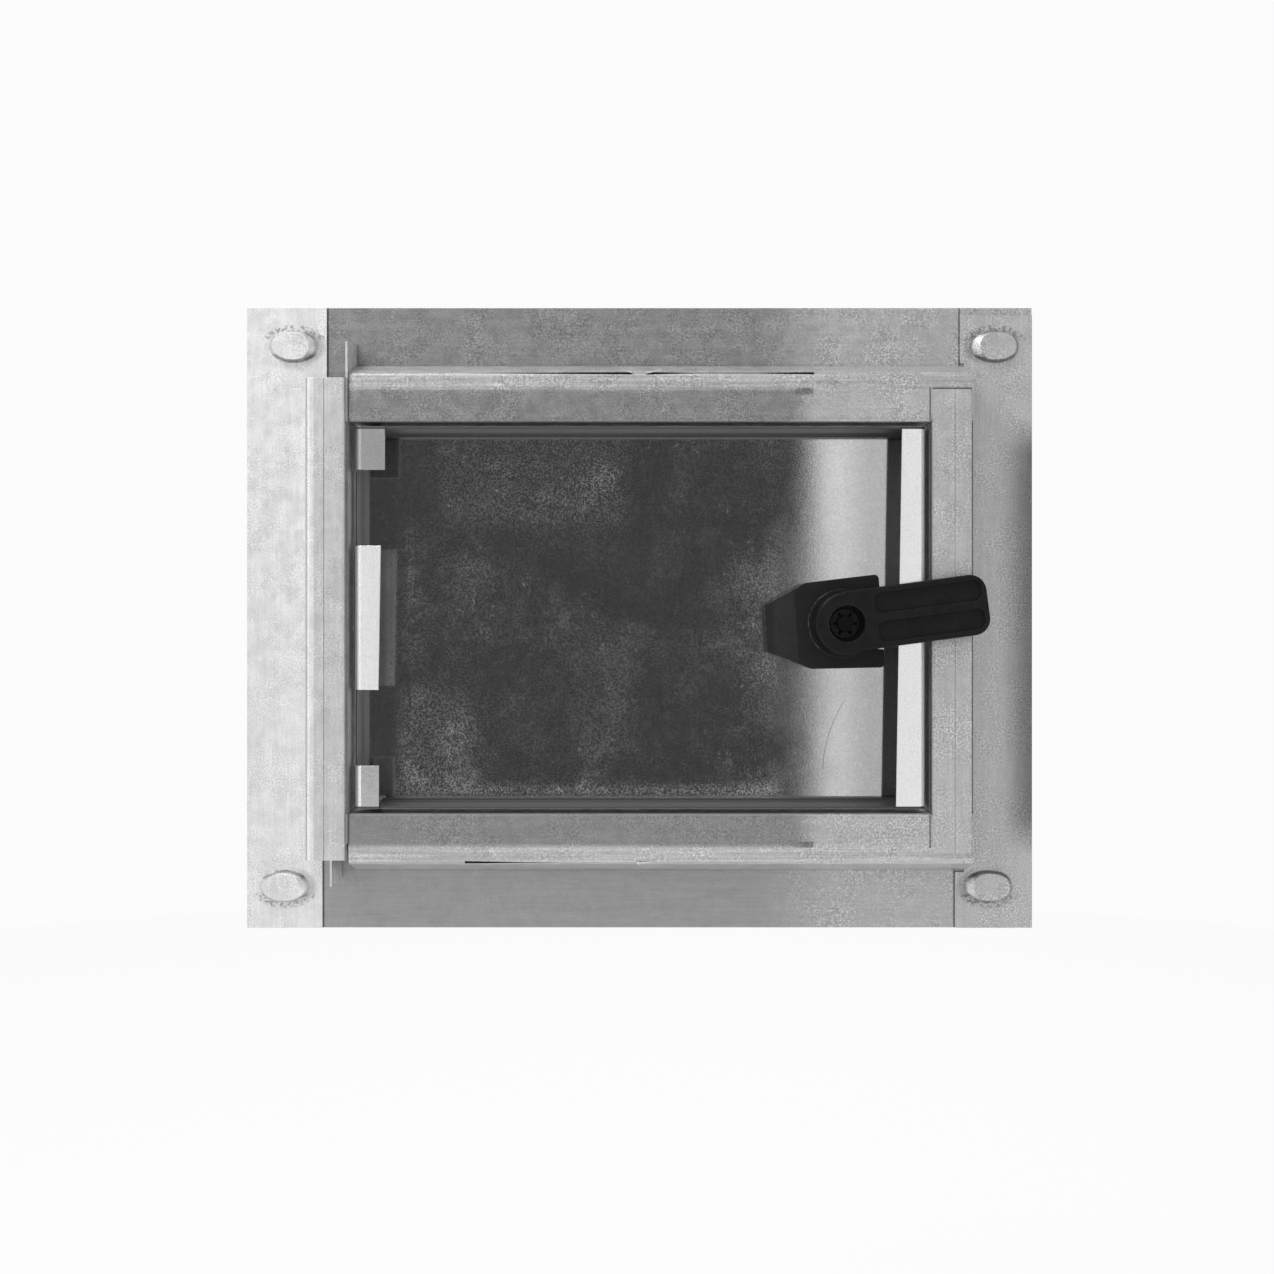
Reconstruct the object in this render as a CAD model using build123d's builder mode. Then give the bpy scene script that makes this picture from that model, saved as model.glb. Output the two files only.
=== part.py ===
"""Small galvanised meter box door with its wall frame, upright, seen from behind at -Y.

+Z is up, +X is to the right from behind, and the front of the door faces +Y. The
origin is the middle of the doorway in the plane of the wall, which is y = 0: the back
face of the frame's side flanges. All sizes are in millimetres.
"""

import math
import os

from build123d import *

os.makedirs("parts", exist_ok=True)

# Sheet metal
sheet = 0.7
bend_radius = 1.6
lip_bend_radius = 2.1
free_edge_gap = 0.15

# Frame
frame_width = 250.0
frame_height = 197.5
doorway_width = 180.0
doorway_height = 121.0
box_depth = 15.3
left_box_width = 13.5
right_box_width = 13.2
rail_box_width = 15.5
rail_wall_lean = 4.3
rail_break = 5.7
rail_break_fall = 0.4
left_collar_top = 74.1
left_collar_bottom = 74.9
right_collar_top = 71.0
right_collar_bottom = 72.7
right_stile_drop = 2.4
crease_inset = 7.3
crease_width = 0.3
crease_depth = 0.2
left_lap_upper = 25.4
left_lap_lower = 24.0
right_lap_upper = 22.9
right_lap_lower = 24.5
rail_lap_height = 32.0
joint_clearance = 0.1

# Lugs at the ends of the left stile, which key into mortar
upper_lug_length = 11.1
upper_lug_slope = 1.9
lower_lug_length = 8.0
lower_lug_offset = 4.8
lower_lug_joggle = 5.5
lug_seat_gap = 0.2

# Pressed joints at the corners, with a long ramp on the side towards the doorway
press_length = 15.2
press_width = 9.8
press_top_length = 11.6
press_top_width = 8.4
press_top_shift = 0.8
press_height = 1.8
press_wall = 0.5
press_gap = 0.1
left_upper_press_inset = 15.0
left_lower_press_inset = 12.0
right_upper_press_inset = 11.9
right_lower_press_inset = 14.0
upper_press_inset = 12.4
lower_press_inset = 13.2

# Slits in the rails' rear edge, where wall ties can be bent out
slit_reach = 54.0
slit_bridge = 4.8
slit_width = 0.9
slit_hairline = 0.25
slit_taper = 17.0
tie_mark_length = 5.6
tie_mark_width = 2.4
tie_mark_depth = 0.3

# Door leaf: a tray with lips folded in along its two sides
leaf_gap_side = 1.4
leaf_gap_end = 1.3
leaf_depth = 15.7
end_bend_radius = 0.8
end_wall_drop = 0.8
end_wall_gap = 0.2
left_wall_drop = 4.3
right_lip_top = 7.3
right_lip_bottom = 9.2
outer_lip_start = 45.8
middle_lip_reach = 22.3
upper_lip_width = 9.8
middle_lip_width = 8.6
lower_lip_width = 7.9
middle_lip_tilt = 4.0
middle_lip_taper = 0.7

# Hinge pins
pin_radius = 1.75
pin_head_radius = 2.2
pin_head_height = 1.5
pin_reach = 4.0
pin_running_clearance = 0.05
pin_inset_side = 5.0
pin_head_clearance = 0.05

# Lock
lock_x = 63.4
lock_z = -1.8
bezel_radius = 15.0
bezel_height = 2.5
neck_radius = 9.0
neck_clearance = 0.1
housing_height = 11.3
housing_turn = 4.0
housing_ear_reach = 12.3
housing_ear_height = 29.2
housing_ear_round = 1.4
housing_notch_height = 18.0
housing_notch_depth = 2.0
housing_shoulder_reach = 10.6
housing_shoulder_height = 27.0
housing_nose_reach = 23.6
housing_nose_width = 14.8
housing_nose_height = 5.5
housing_nose_length = 9.0
housing_boss_radius = 10.7
housing_boss_height = 0.8
spindle_radius = 6.0
spindle_clearance = 0.06
spindle_disc_radius = 8.0
spindle_disc_height = 1.5
spindle_square = 7.0
spindle_tip_radius = 2.5
spindle_tip_height = 2.0
key_triangle_side = 8.0
key_triangle_height = 3.0
key_well_depth = 3.5

# Latch arm
arm_turn = 7.7
arm_rise = 0.5
arm_length = 43.5
arm_width = 18.6
arm_thickness = 4.5
arm_lift = 1.0
arm_end_radius = 5.1
arm_rim = 1.6
arm_rib = 2.2
arm_pocket_depth = 1.4
arm_pocket_start = 9.2
hub_radius = 9.5
hub_bore_radius = 5.6
hub_floor = 4.0
arm_edge_round = 0.6
ring_thickness = 0.8
ring_radius = 4.6
ring_teeth = 6

# Places that follow from the sizes above
mid = sheet / 2
half_width = frame_width / 2
half_height = frame_height / 2
jamb = doorway_width / 2
head = doorway_height / 2
rail_back = -box_depth
stile_back = rail_back - sheet
front = 2 * sheet
leaf_half_width = jamb - leaf_gap_side
leaf_half_height = head - leaf_gap_end
leaf_back = front - leaf_depth
plate_back = front - sheet
pin_x = -leaf_half_width + pin_inset_side
pin_y = front - mid - end_bend_radius - pin_head_clearance - pin_head_radius
housing_back = plate_back - housing_height
arm_front = stile_back - arm_lift
arm_back = arm_front - arm_thickness
hub_bore_floor = housing_back - hub_floor


def fold_line(points, radius):
    """Draw the middle line of a bent sheet's section."""
    with BuildLine() as line:
        FilletPolyline(*points, radius=radius)
    return line.line


def between(low, high):
    """Give the middle and the size of a box between two corners."""
    middle = tuple((a + b) / 2 for a, b in zip(low, high))
    size = tuple(b - a for a, b in zip(low, high))
    return middle, size


def pressing(x, z, cut, base_y, top_y, mode):
    """Loft an oval raised panel from base_y back to top_y, cut by a margin all round."""
    outward = math.copysign(press_top_shift, x)
    with BuildSketch(Plane.XZ.offset(-base_y)) as base:
        with Locations((x, z)):
            SlotOverall(press_length - 2 * cut, press_width - 2 * cut)
    with BuildSketch(Plane.XZ.offset(-top_y)) as top:
        with Locations((x + outward, z)):
            SlotOverall(press_top_length - 2 * cut, press_top_width - 2 * cut)
    loft([base.sketch.face(), top.sketch.face()], mode=mode)


def stile_pressing(x, z):
    """Press an oval through a stile's lap, hollow from the front."""
    pressing(x, z, 0, mid, -press_height, Mode.ADD)
    pressing(x, z, press_wall, sheet, press_wall - press_height, Mode.SUBTRACT)


def rail_pressing(x, z):
    """Press the rail's sheet into the hollow of the stile's oval."""
    outer = press_wall + press_gap
    inner = outer + press_wall
    pressing(x, z, outer, sheet, outer - press_height, Mode.ADD)
    pressing(x, z, inner, front, inner - press_height, Mode.SUBTRACT)


def crease(sign):
    """Roll a fine line along a stile's rear face."""
    middle, size = between(
        (sign * (jamb + crease_inset) - crease_width / 2, 2 * stile_back, -frame_height),
        (sign * (jamb + crease_inset) + crease_width / 2, stile_back + crease_depth, frame_height),
    )
    with Locations(middle):
        Box(*size, mode=Mode.SUBTRACT)


upper_press_z = half_height - upper_press_inset
lower_press_z = lower_press_inset - half_height
left_presses = (
    (left_upper_press_inset - half_width, upper_press_z),
    (left_lower_press_inset - half_width, lower_press_z),
)
right_presses = (
    (half_width - right_upper_press_inset, upper_press_z),
    (half_width - right_lower_press_inset, lower_press_z),
)

# Left stile, on the hinge side: flange, reveal, rear face and outer wall in one sheet
with BuildPart() as frame_left:
    outer_x = -jamb - left_box_width
    with BuildSketch(Plane.XY.offset(-half_height)):
        section = fold_line(
            [
                (-half_width, mid), (-jamb - mid, mid), (-jamb - mid, stile_back + mid),
                (outer_x + mid, stile_back + mid), (outer_x + mid, -free_edge_gap),
            ],
            bend_radius,
        )
        trace(section, sheet)
    extrude(amount=frame_height)
    for low_z, high_z, lap_width in (
        (left_collar_top, frame_height, left_lap_upper),
        (-frame_height, -left_collar_bottom, left_lap_lower),
    ):
        lap_x = lap_width - half_width
        for low, high in (
            ((-frame_width, 2 * stile_back, low_z), (0, 0, high_z)),
            ((lap_x, 2 * stile_back, low_z), (0, front, high_z)),
        ):
            middle, size = between(low, high)
            with Locations(middle):
                Box(*size, mode=Mode.SUBTRACT)
    lug_front = sheet - lug_seat_gap
    lug_top = left_collar_top + upper_lug_length
    with BuildSketch(Plane.YZ.offset(-jamb - sheet)):
        with BuildLine():
            Polyline(
                (stile_back, head), (stile_back, lug_top), (lug_front, lug_top + upper_lug_slope),
                (lug_front, head), close=True,
            )
        make_face()
    extrude(amount=sheet)
    lug_bend_z = lower_lug_joggle - left_collar_bottom
    with BuildSketch(Plane.XZ.offset(-lug_front)):
        with BuildLine():
            Polyline(
                (-jamb, -head), (-jamb, lug_bend_z),
                (-jamb - lower_lug_offset, lug_bend_z - lower_lug_joggle),
                (-jamb - lower_lug_offset, -left_collar_bottom - lower_lug_length),
            )
            offset(amount=sheet, side=Side.RIGHT)
        make_face()
    extrude(amount=lug_front - stile_back)
    crease(-1)
    for press_x, press_z in left_presses:
        stile_pressing(press_x, press_z)

# Right stile, on the lock side: its rear face laps over the rails
with BuildPart() as frame_right:
    outer_x = jamb + right_box_width
    top_z = half_height - right_stile_drop
    with BuildSketch(Plane.XY.offset(-half_height)):
        section = fold_line(
            [
                (half_width, mid), (jamb + mid, mid), (jamb + mid, stile_back + mid),
                (outer_x - mid, stile_back + mid), (outer_x - mid, -free_edge_gap),
            ],
            bend_radius,
        )
        trace(section, sheet)
    extrude(amount=frame_height)
    rail_edge = head + rail_box_width + rail_wall_lean + sheet
    for sign, collar_end, lap_width in (
        (1, right_collar_top, right_lap_upper), (-1, right_collar_bottom, right_lap_lower),
    ):
        for low_x, low_y, near_z, far_x, far_y in (
            (0, rail_back, head - joint_clearance, outer_x + joint_clearance, 0),
            (0, -joint_clearance, head - joint_clearance, outer_x + joint_clearance, front),
            (0, 2 * stile_back, collar_end, frame_width, 0),
        ):
            far_z = rail_edge if far_y == front else frame_height
            low = (low_x, low_y, min(sign * near_z, sign * far_z))
            high = (far_x, far_y, max(sign * near_z, sign * far_z))
            middle, size = between(low, high)
            with Locations(middle):
                Box(*size, mode=Mode.SUBTRACT)
        low = (0, -joint_clearance, min(sign * rail_edge, sign * frame_height))
        high = (half_width - lap_width, front, max(sign * rail_edge, sign * frame_height))
        middle, size = between(low, high)
        with Locations(middle):
            Box(*size, mode=Mode.SUBTRACT)
    middle, size = between((0, -box_depth, top_z), (frame_width, front, frame_height))
    with Locations(middle):
        Box(*size, mode=Mode.SUBTRACT)
    crease(1)
    for press_x, press_z in right_presses:
        stile_pressing(press_x, press_z)


def slit_outlines(upper):
    """Give the wedge-shaped slits as lists of (x, width) along the rail."""
    first = -slit_bridge / 2
    if upper:
        return [
            [(-slit_reach, 0), (first, slit_width)],
            [(-first, slit_width), (slit_taper, slit_hairline),
             (slit_reach - slit_taper, slit_hairline), (slit_reach, slit_width)],
        ]
    return [
        [(-slit_reach, slit_width), (slit_taper - slit_reach, slit_hairline),
         (slit_bridge - slit_reach / 2, 0)],
    ]


def rail(upper):
    """Fold the upper rail; the lower one is the same sheet turned over."""
    left_end = -jamb + joint_clearance
    right_end = jamb + right_box_width
    row = 0 if upper else 1
    with BuildPart() as body:
        edge_z = head + rail_box_width
        with BuildSketch(Plane.YZ.offset(-half_width)):
            section = fold_line(
                [
                    (front - mid, half_height), (front - mid, head + mid),
                    (rail_back + mid, head + mid), (rail_back + mid, edge_z - rail_break),
                    (rail_back + mid + rail_break_fall, edge_z - mid),
                    (sheet - free_edge_gap, edge_z - mid + rail_wall_lean),
                ],
                bend_radius,
            )
            trace(section, sheet)
        extrude(amount=frame_width)
        lap_z = half_height - rail_lap_height
        for low, high in (
            ((-frame_width, 2 * stile_back, 0), (left_end, sheet, frame_height)),
            ((right_end, 2 * stile_back, 0), (frame_width, sheet, frame_height)),
            ((-frame_width, 0, 0), (left_end, 2 * front, lap_z)),
            ((right_end, 0, 0), (frame_width, 2 * front, lap_z)),
        ):
            middle, size = between(low, high)
            with Locations(middle):
                Box(*size, mode=Mode.SUBTRACT)
        slit_z = edge_z - sheet / 2
        with BuildSketch(Plane.XZ.offset(box_depth + sheet)):
            for outline in slit_outlines(upper):
                upper_side = [(x, slit_z + w / 2) for x, w in outline]
                lower_side = [(x, slit_z - w / 2) for x, w in reversed(outline) if w > 0]
                with BuildLine():
                    Polyline(*upper_side, *lower_side, close=True)
                make_face()
        extrude(amount=-3 * sheet, mode=Mode.SUBTRACT)
        mark_z = edge_z - bend_radius - 2 * tie_mark_width
        with BuildSketch(Plane.XZ.offset(box_depth)):
            with Locations((slit_reach - tie_mark_length / 2, mark_z)):
                Trapezoid(tie_mark_length, tie_mark_width, 90, 60)
        extrude(amount=-tie_mark_depth, mode=Mode.SUBTRACT)
        with BuildSketch(Plane.XY):
            with Locations((pin_x, pin_y)):
                Circle(pin_radius + pin_running_clearance)
        extrude(amount=head + 2 * sheet, mode=Mode.SUBTRACT)
        for press_x, press_z in (left_presses[row], right_presses[row]):
            rail_pressing(press_x, abs(press_z))
    if upper:
        return body.part
    return mirror(body.part, about=Plane.XY, mode=Mode.PRIVATE)


frame_top = rail(upper=True)
frame_bottom = rail(upper=False)

# Door leaf: front plate, side walls, and lips that stiffen the two sides
with BuildPart() as door_leaf:
    left_wall_back = leaf_back + left_wall_drop
    lip_edge = leaf_half_width - right_lip_bottom
    with BuildSketch(Plane.XY.offset(-leaf_half_height)):
        side_x = leaf_half_width - mid
        section = fold_line(
            [
                (lip_edge, leaf_back + mid), (side_x, leaf_back + mid),
                (side_x, front - mid), (-side_x, front - mid), (-side_x, left_wall_back),
            ],
            lip_bend_radius,
        )
        trace(section, sheet)
    extrude(amount=2 * leaf_half_height)
    for low_z, high_z, width, tilt in (
        (outer_lip_start, leaf_half_height, upper_lip_width, 0),
        (-middle_lip_reach, middle_lip_reach, middle_lip_width, middle_lip_tilt),
        (-leaf_half_height, -outer_lip_start, lower_lip_width, 0),
    ):
        rise = width * math.tan(math.radians(tilt))
        with BuildSketch(Plane.XY.offset(low_z)):
            section = fold_line(
                [
                    (-side_x, left_wall_back), (-side_x, leaf_back + mid),
                    (width - leaf_half_width, leaf_back + mid - rise),
                ],
                lip_bend_radius,
            )
            trace(section, sheet)
        extrude(amount=high_z - low_z)
    with BuildSketch(Plane.XZ.offset(-leaf_back + sheet)):
        with BuildLine():
            Polyline(
                (lip_edge, -leaf_half_height), (lip_edge, leaf_half_height),
                (leaf_half_width - right_lip_top, leaf_half_height), close=True,
            )
        make_face()
    extrude(amount=-3 * sheet, mode=Mode.SUBTRACT)
    middle_edge = middle_lip_width - leaf_half_width
    with BuildSketch(Plane.XZ.offset(-leaf_back + 2 * sheet)):
        with BuildLine():
            Polyline(
                (middle_edge, middle_lip_reach), (middle_edge + sheet, middle_lip_reach),
                (middle_edge + sheet, -middle_lip_reach),
                (middle_edge - middle_lip_taper, -middle_lip_reach), close=True,
            )
        make_face()
    extrude(amount=-4 * sheet, mode=Mode.SUBTRACT)
    wall_end = leaf_half_width - lip_bend_radius - end_wall_gap
    fold_z = leaf_half_height - end_bend_radius - mid
    wall_z = leaf_half_height - mid
    for sign in (1, -1):
        low_z, high_z = sorted((sign * fold_z, sign * frame_height))
        middle, size = between((-wall_end, 0, low_z), (wall_end, 2 * front, high_z))
        with Locations(middle):
            Box(*size, mode=Mode.SUBTRACT)
        with BuildSketch(Plane.YZ.offset(-wall_end)):
            section = fold_line(
                [
                    (front - mid, sign * fold_z / 2), (front - mid, sign * wall_z),
                    (leaf_back + end_wall_drop, sign * wall_z),
                ],
                end_bend_radius,
            )
            trace(section, sheet)
        extrude(amount=2 * wall_end)
    with Locations(Plane.XY.offset(-frame_height / 2)):
        with Locations((pin_x, pin_y)):
            Cylinder(
                pin_radius, frame_height, align=(Align.CENTER, Align.CENTER, Align.MIN),
                mode=Mode.SUBTRACT,
            )
    with BuildSketch(Plane.XZ.offset(-front - sheet)):
        with Locations((lock_x, lock_z)):
            Circle(neck_radius + neck_clearance)
    extrude(amount=3 * sheet, mode=Mode.SUBTRACT)


def hinge_pin(sign):
    """Turn a pin that is riveted in a leaf end wall and runs in the rail's hole."""
    inner = leaf_half_height - sheet
    with BuildPart() as pin:
        with BuildSketch(Plane.XY.offset(inner - pin_head_height)):
            with Locations((pin_x, pin_y)):
                Circle(pin_head_radius)
        extrude(amount=pin_head_height)
        with BuildSketch(Plane.XY.offset(inner)):
            with Locations((pin_x, pin_y)):
                Circle(pin_radius)
        extrude(amount=head + pin_reach - inner)
        chamfer(pin.faces().sort_by(Axis.Z)[-1].edges(), pin_radius / 4)
        fillet(pin.faces().sort_by(Axis.Z)[0].edges(), pin_head_height / 3)
    if sign > 0:
        return pin.part
    return mirror(pin.part, about=Plane.XY, mode=Mode.PRIVATE)


hinge_pin_upper = hinge_pin(1)
hinge_pin_lower = hinge_pin(-1)


def level(y, turn=0):
    """Give the lock's plane at a y, turned by degrees as seen from behind."""
    angle = math.radians(turn)
    x_dir = (math.cos(angle), 0, math.sin(angle))
    return Plane(origin=(lock_x, y, lock_z), x_dir=x_dir, z_dir=(0, -1, 0))


# Lock bezel: front ring and the neck that passes through the leaf
with BuildPart() as lock_bezel:
    with BuildSketch(level(front + bezel_height)):
        Circle(bezel_radius)
    extrude(amount=bezel_height)
    fillet(lock_bezel.faces().sort_by(Axis.Y)[-1].edges(), bezel_height / 2)
    with BuildSketch(level(front)):
        Circle(neck_radius)
    extrude(amount=front - housing_back)
    with BuildSketch(level(housing_back)):
        Circle(spindle_radius + spindle_clearance)
    extrude(amount=-frame_height, mode=Mode.SUBTRACT)
    well_floor = front + bezel_height - key_well_depth - spindle_disc_height
    with BuildSketch(level(well_floor - spindle_clearance)):
        Circle(spindle_disc_radius + spindle_clearance)
    extrude(amount=-frame_height, mode=Mode.SUBTRACT)

# Lock housing: a wedge-nosed moulding clamped on the back of the leaf
with BuildPart() as lock_housing:
    base = level(plate_back, housing_turn)
    body_height = housing_height - housing_boss_height
    ear = housing_ear_height / 2
    shoulder = housing_shoulder_height / 2
    nose = housing_nose_width / 2
    with BuildSketch(base):
        with BuildLine():
            Polyline(
                (housing_ear_reach, -ear), (housing_ear_reach, ear),
                (-housing_shoulder_reach, shoulder), (-housing_nose_reach, nose),
                (-housing_nose_reach, -nose), (-housing_shoulder_reach, -shoulder),
                close=True,
            )
        outline = make_face()
        fillet(outline.vertices().sort_by(lambda v: v.X)[-2:], housing_ear_round)
        with Locations((housing_ear_reach, 0)):
            Rectangle(2 * housing_notch_depth, housing_notch_height, mode=Mode.SUBTRACT)
    extrude(amount=body_height)
    with BuildSketch(Plane(base.origin, x_dir=base.x_dir, z_dir=-base.y_dir)):
        with BuildLine():
            ramp_end = housing_nose_length - housing_nose_reach
            Polyline(
                (-2 * housing_nose_reach, housing_nose_height),
                (-housing_nose_reach, housing_nose_height),
                (ramp_end, body_height), (ramp_end, 2 * body_height),
                (-2 * housing_nose_reach, 2 * body_height), close=True,
            )
        make_face()
    extrude(amount=housing_ear_height, both=True, mode=Mode.SUBTRACT)
    with BuildSketch(base):
        Circle(housing_boss_radius)
    extrude(amount=housing_height)
    with BuildSketch(base):
        Circle(neck_radius)
    extrude(amount=housing_height, mode=Mode.SUBTRACT)

# Lock spindle: turned by the key at the front, square where the arm fits
with BuildPart() as lock_spindle:
    disc_front = front + bezel_height - key_well_depth
    with BuildSketch(level(disc_front)):
        Circle(spindle_disc_radius)
    extrude(amount=spindle_disc_height)
    with BuildSketch(level(disc_front + key_triangle_height)):
        RegularPolygon(key_triangle_side / math.sqrt(3), 3)
    extrude(amount=key_triangle_height)
    with BuildSketch(level(disc_front - spindle_disc_height)):
        Circle(spindle_radius)
    extrude(amount=disc_front - spindle_disc_height - housing_back)
    with BuildSketch(level(housing_back, arm_turn)):
        Rectangle(spindle_square, spindle_square)
    extrude(amount=hub_floor)
    with BuildSketch(level(hub_bore_floor)):
        Circle(spindle_tip_radius)
    extrude(amount=spindle_tip_height)

# Latch arm: hub and tongue, moulded in one
with BuildPart() as latch_arm:
    with BuildSketch(level(arm_front, arm_turn)):
        with Locations((arm_length / 2, arm_rise)):
            tongue = Rectangle(arm_length, arm_width)
        fillet(tongue.vertices().sort_by(lambda v: v.X)[-2:], arm_end_radius)
    extrude(amount=arm_thickness)
    with BuildSketch(level(housing_back)):
        Circle(hub_radius)
    extrude(amount=housing_back - arm_back)
    fillet(latch_arm.faces().sort_by(Axis.Y)[0].edges(), arm_edge_round)
    pocket_width = (arm_width - 2 * arm_rim - arm_rib) / 2
    pocket_length = arm_length - arm_rim - arm_pocket_start
    with BuildSketch(level(arm_back, arm_turn)):
        for side in (1, -1):
            with Locations((
                arm_pocket_start + pocket_length / 2,
                arm_rise + side * (arm_rib + pocket_width) / 2,
            )):
                RectangleRounded(pocket_length, pocket_width, pocket_width / 3)
    extrude(amount=-arm_pocket_depth, mode=Mode.SUBTRACT)
    with BuildSketch(level(hub_bore_floor)):
        Circle(hub_bore_radius)
    extrude(amount=hub_bore_floor - 2 * arm_back, mode=Mode.SUBTRACT)
    with BuildSketch(level(housing_back, arm_turn)):
        Rectangle(spindle_square, spindle_square)
    extrude(amount=hub_floor, mode=Mode.SUBTRACT)

# Retaining ring: a star washer pushed over the spindle's tip inside the hub
with BuildPart() as retaining_ring:
    with BuildSketch(level(hub_bore_floor)):
        Circle(ring_radius)
        Circle(spindle_tip_radius, mode=Mode.SUBTRACT)
        with PolarLocations(spindle_tip_radius, ring_teeth):
            Rectangle(spindle_tip_radius, ring_thickness, mode=Mode.SUBTRACT)
    extrude(amount=ring_thickness)

for name, solid in (
    ("frame_left", frame_left.part),
    ("frame_right", frame_right.part),
    ("frame_top", frame_top),
    ("frame_bottom", frame_bottom),
    ("door_leaf", door_leaf.part),
    ("hinge_pin_upper", hinge_pin_upper),
    ("hinge_pin_lower", hinge_pin_lower),
    ("lock_bezel", lock_bezel.part),
    ("lock_housing", lock_housing.part),
    ("lock_spindle", lock_spindle.part),
    ("latch_arm", latch_arm.part),
    ("retaining_ring", retaining_ring.part),
):
    solid.label = name
    export_step(solid, f"parts/{name}.step")
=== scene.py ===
"""Dressing of a galvanised meter box door: finishes, slivers of torn zinc, light and camera.

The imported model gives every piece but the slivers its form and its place. Everything here is
in metres, +Z is up, and the camera looks along +Y at the back of the door, so the wall's side
is at -Y. Masks by place tell the faces of a folded sheet apart.
"""

import math

import bmesh
import bpy
from bpy.props import FloatProperty, FloatVectorProperty, PointerProperty
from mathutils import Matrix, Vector


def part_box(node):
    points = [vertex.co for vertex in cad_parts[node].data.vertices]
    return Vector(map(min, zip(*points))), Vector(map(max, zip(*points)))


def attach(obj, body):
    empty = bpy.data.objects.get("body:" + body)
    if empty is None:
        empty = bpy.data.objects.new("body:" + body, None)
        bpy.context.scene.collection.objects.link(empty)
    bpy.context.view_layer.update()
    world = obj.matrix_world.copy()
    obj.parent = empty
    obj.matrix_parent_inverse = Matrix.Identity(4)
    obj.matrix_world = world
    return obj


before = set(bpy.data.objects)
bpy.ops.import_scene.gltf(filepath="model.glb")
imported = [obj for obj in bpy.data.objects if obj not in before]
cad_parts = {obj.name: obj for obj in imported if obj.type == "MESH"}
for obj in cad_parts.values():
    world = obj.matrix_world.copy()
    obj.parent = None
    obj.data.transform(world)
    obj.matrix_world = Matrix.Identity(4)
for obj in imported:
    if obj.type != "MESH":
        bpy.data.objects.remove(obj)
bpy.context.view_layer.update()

bl_info = {
    "name": "Meter Box Door",
    "version": (1, 0, 0),
    "blender": (4, 5, 0),
    "location": "View3D > Sidebar > Meter Door",
    "description": "Finishes a galvanised meter box door and sets its light and camera",
    "category": "Object",
}

MM = 0.001
LEAF_LOW, LEAF_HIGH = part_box("door_leaf")
RIGHT_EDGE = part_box("frame_right")[1].x
LOCK_LOW, LOCK_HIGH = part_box("lock_bezel")
LOCK_X = (LOCK_LOW.x + LOCK_HIGH.x) / 2

# Half the doorway's width and height, where the masks of the sheets that line it end, and the
# width of the lock side's box section.
DOORWAY_SIDE = 90.0 * MM
DOORWAY_END = 60.5 * MM
REVEAL_SIDE = DOORWAY_SIDE + 0.75 * MM
REVEAL_END = DOORWAY_END + 0.7 * MM
RIGHT_BOX = 13.2 * MM

# Depths at which the fronts of the side strips' and the rails' flanges begin, the fade of a mask
# between two faces of a sheet, and the painted shade that darkens a reveal beside the leaf.
SIDE_FRONT = 0.5 * MM
RAIL_FRONT = 1.2 * MM
FACE_FADE = 0.15 * MM
REVEAL_PAINTED_SHADE = -0.3
SPECKLE_MEAN = 0.4

# A rail's outer wall leans by this slope from its foot in the wall's plane.
RAIL_FOOT = 80.3 * MM
RAIL_LEAN = 0.281

# How far to each side the slits at a rail's outer bend reach, and their height.
SLIT_REACH = 54.0 * MM
SLIT_HEIGHT = 75.65 * MM

# Tones from a rail's left to its right, and where the side strips lap over it. The change of tone
# from left to right, the brighter outer strip of the rear face and the lighter sloped wall are
# painted light.
RAILS = {
    "frame_top": {
        "flange": (0.77, 1.27), "rear": (0.76, 1.42), "outer_highlight": 1.25, "wall": 1.45,
        "laps": (-99.6 * MM, 102.1 * MM), "specks": (0.6, 0.65),
    },
    "frame_bottom": {
        "flange": (0.98, 1.3), "rear": (0.75, 1.37), "outer_highlight": 1.38, "wall": 1.4,
        "laps": (-101.0 * MM, 100.5 * MM), "specks": (0.1, 0.6),
    },
}

# Ovals of the pressed joints, by the strip that shows the marks beside them.
PRESS_LENGTH = 15.2 * MM
PRESS_WIDTH = 9.8 * MM
PRESSES = {
    "frame_left": ((-110.0 * MM, 0.0, 86.35 * MM), (-113.0 * MM, 0.0, -85.55 * MM)),
    "frame_right": ((113.1 * MM, 0.0, 86.35 * MM), (111.0 * MM, 0.0, -85.55 * MM)),
}

# Heights between which the lip on the hinge side is parted.
LIP_PART = (42 * MM, 44 * MM)

# Steps along a sliver, and the depth that it lies at.
SLIVER_STEPS = 12
SLIVER_Y = -14.95 * MM

# Lamps, the dark flag and the floor, and the photo's side and its origin in its own pixels.
KEY_PLACE = (-0.7, -0.6, 1.1)
FILL_PLACE = (0.2, 0.9, 0.8)
LAMP_SIZE = 0.6
FLAG_TONE = 0.068
FLOOR_RADIUS = 1.4
FLOOR_GLOW = 0.88
PHOTO_SIDE = 1274
PHOTO_ORIGIN = (639.5, 617.75)


def grey_prop(name, description, value):
    """Property for a colour whose default is a grey."""
    return FloatVectorProperty(
        name=name, description=description, subtype="COLOR", size=3, min=0, max=1, default=(value,) * 3,
    )


def length_prop(name, description, value, low=0.0):
    """Property for a length."""
    return FloatProperty(
        name=name, description=description, subtype="DISTANCE", unit="LENGTH", min=low, default=value,
    )


def share_prop(name, description, value):
    """Property for a number from 0 to 1."""
    return FloatProperty(name=name, description=description, min=0, max=1, default=value)


def power_prop(name, description, value):
    """Property for a lamp's power."""
    return FloatProperty(name=name, description=description, unit="POWER", min=0, default=value)


def slope_prop(name, description, value, low=-2.0):
    """Property for a direction, as metres aside for each metre towards the lens."""
    return FloatProperty(name=name, description=description, min=low, max=2, default=value)


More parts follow.
